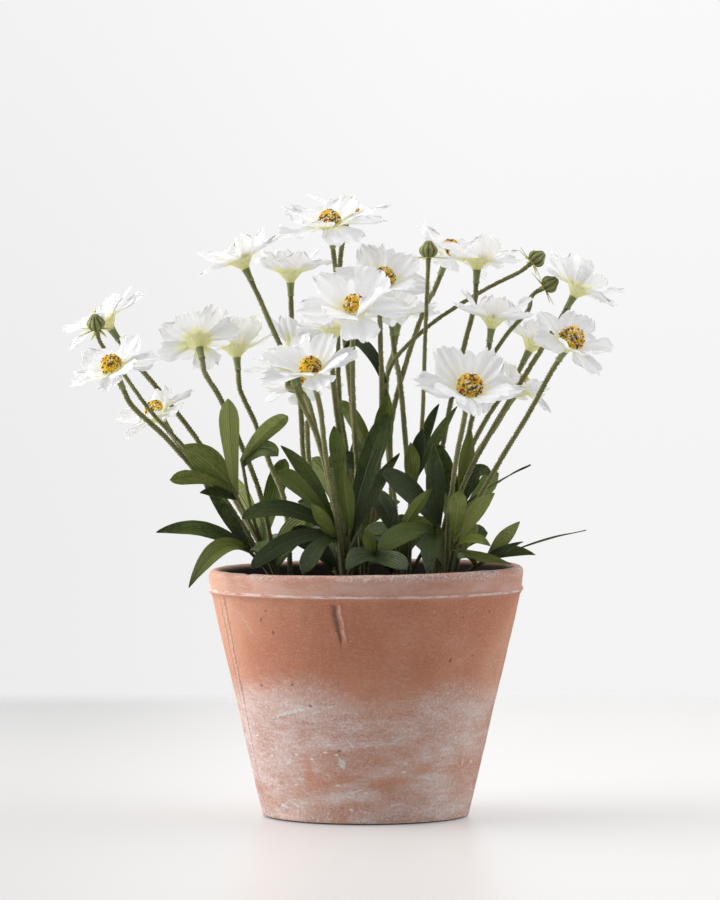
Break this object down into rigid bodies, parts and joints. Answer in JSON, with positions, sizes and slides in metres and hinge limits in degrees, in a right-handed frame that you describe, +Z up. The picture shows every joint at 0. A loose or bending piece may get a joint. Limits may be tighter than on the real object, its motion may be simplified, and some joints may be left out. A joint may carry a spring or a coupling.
{
  "type": "potted daisy",
  "caption": "Artificial white daisies with domed yellow centres, buds and strap leaves, standing in soil in a round tapered clay pot with a ridged rim.",
  "frame": {"origin": "middle of the pot's flat underside", "axes": "+Z up through the pot, the front of the pot looks along -Y, +X to the right of the front view"},
  "size_m": [0.3573, 0.221, 0.3951],
  "materials": {
    "aged_clay": "fired clay, aged, with a rubbed whitewash bloom",
    "dark_soil": "dark crumbly soil",
    "leaf_green": "printed leaf cloth with a soft sheen, and fuzzy moulded stems",
    "petal_white": "thin white cloth that lets light through, tinted yellow-green at the foot",
    "pollen_yellow": "glued grains in yellow, orange, white and dark colours"
  },
  "bodies": {
    "root": {"pot": "aged_clay", "soil": "dark_soil", "spray_left": "leaf_green", "spray_front_left": "leaf_green", "spray_centre": "leaf_green", "spray_centre_right": "leaf_green", "spray_right": "leaf_green", "spray_far_right": "leaf_green", "petals_01": "petal_white", "petals_02": "petal_white", "petals_03": "petal_white", "petals_04": "petal_white", "petals_05": "petal_white", "petals_06": "petal_white", "petals_07": "petal_white", "petals_08": "petal_white", "petals_09": "petal_white", "petals_10": "petal_white", "petals_11": "petal_white", "petals_12": "petal_white", "petals_13": "petal_white", "petals_14": "petal_white", "petals_15": "petal_white", "petals_16": "petal_white", "petals_17": "petal_white", "petals_18": "petal_white", "petals_19": "petal_white", "petals_20": "petal_white", "petals_21": "petal_white", "petals_22": "petal_white", "petals_23": "petal_white", "petals_24": "petal_white", "petals_25": "petal_white", "petals_26": "petal_white", "disc_01": "pollen_yellow", "disc_02": "pollen_yellow", "disc_03": "pollen_yellow", "disc_04": "pollen_yellow", "disc_05": "pollen_yellow", "disc_06": "pollen_yellow", "disc_07": "pollen_yellow", "disc_08": "pollen_yellow", "disc_09": "pollen_yellow", "disc_10": "pollen_yellow", "disc_11": "pollen_yellow", "disc_12": "pollen_yellow", "disc_13": "pollen_yellow", "disc_14": "pollen_yellow", "disc_15": "pollen_yellow", "disc_16": "pollen_yellow", "disc_17": "pollen_yellow", "disc_18": "pollen_yellow", "disc_19": "pollen_yellow", "disc_20": "pollen_yellow", "disc_21": "pollen_yellow", "disc_22": "pollen_yellow", "disc_23": "pollen_yellow", "disc_24": "pollen_yellow", "disc_25": "pollen_yellow", "disc_26": "pollen_yellow"}
  },
  "joints": []
}
